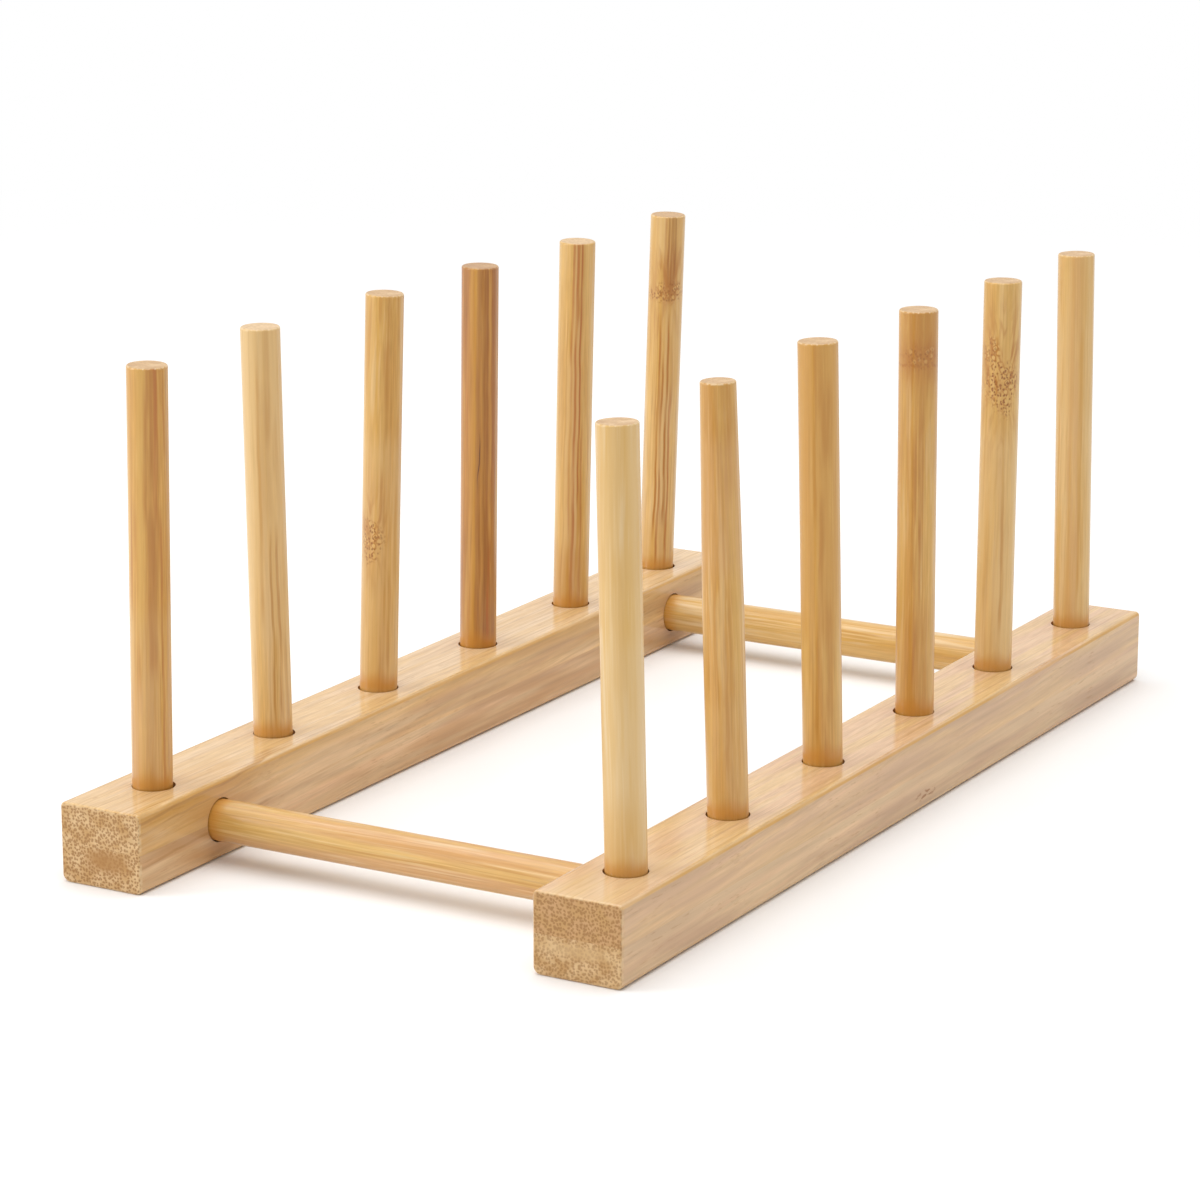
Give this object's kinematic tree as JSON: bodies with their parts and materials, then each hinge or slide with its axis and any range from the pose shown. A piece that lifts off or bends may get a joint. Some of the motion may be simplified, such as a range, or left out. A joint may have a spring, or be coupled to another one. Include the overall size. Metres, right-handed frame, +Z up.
{
  "type": "pot lid rack",
  "caption": "Table-top bamboo rack: laminated rails joined by cross rods carry rows of upright dowel posts, and pot lids or plates stand on edge in the slots between the posts.",
  "frame": {"origin": "on the surface that the rack stands on, under the middle of the rack", "axes": "+X across the rack to the right rail, +Y along the rails towards the rear end, +Z up"},
  "size_m": [0.1548, 0.294, 0.1256],
  "materials": {
    "rail_bamboo": "satin clear lacquer over laminated bamboo",
    "dowel_bamboo": "satin clear lacquer over turned bamboo dowel"
  },
  "bodies": {
    "root": {"left_rail_lower_ply": "rail_bamboo", "left_rail_upper_ply": "rail_bamboo", "right_rail_lower_ply": "rail_bamboo", "right_rail_upper_ply": "rail_bamboo", "left_post_1": "dowel_bamboo", "left_post_2": "dowel_bamboo", "left_post_3": "dowel_bamboo", "left_post_4": "dowel_bamboo", "left_post_5": "dowel_bamboo", "left_post_6": "dowel_bamboo", "right_post_1": "dowel_bamboo", "right_post_2": "dowel_bamboo", "right_post_3": "dowel_bamboo", "right_post_4": "dowel_bamboo", "right_post_5": "dowel_bamboo", "right_post_6": "dowel_bamboo", "front_cross_rod": "dowel_bamboo", "rear_cross_rod": "dowel_bamboo"}
  },
  "joints": []
}
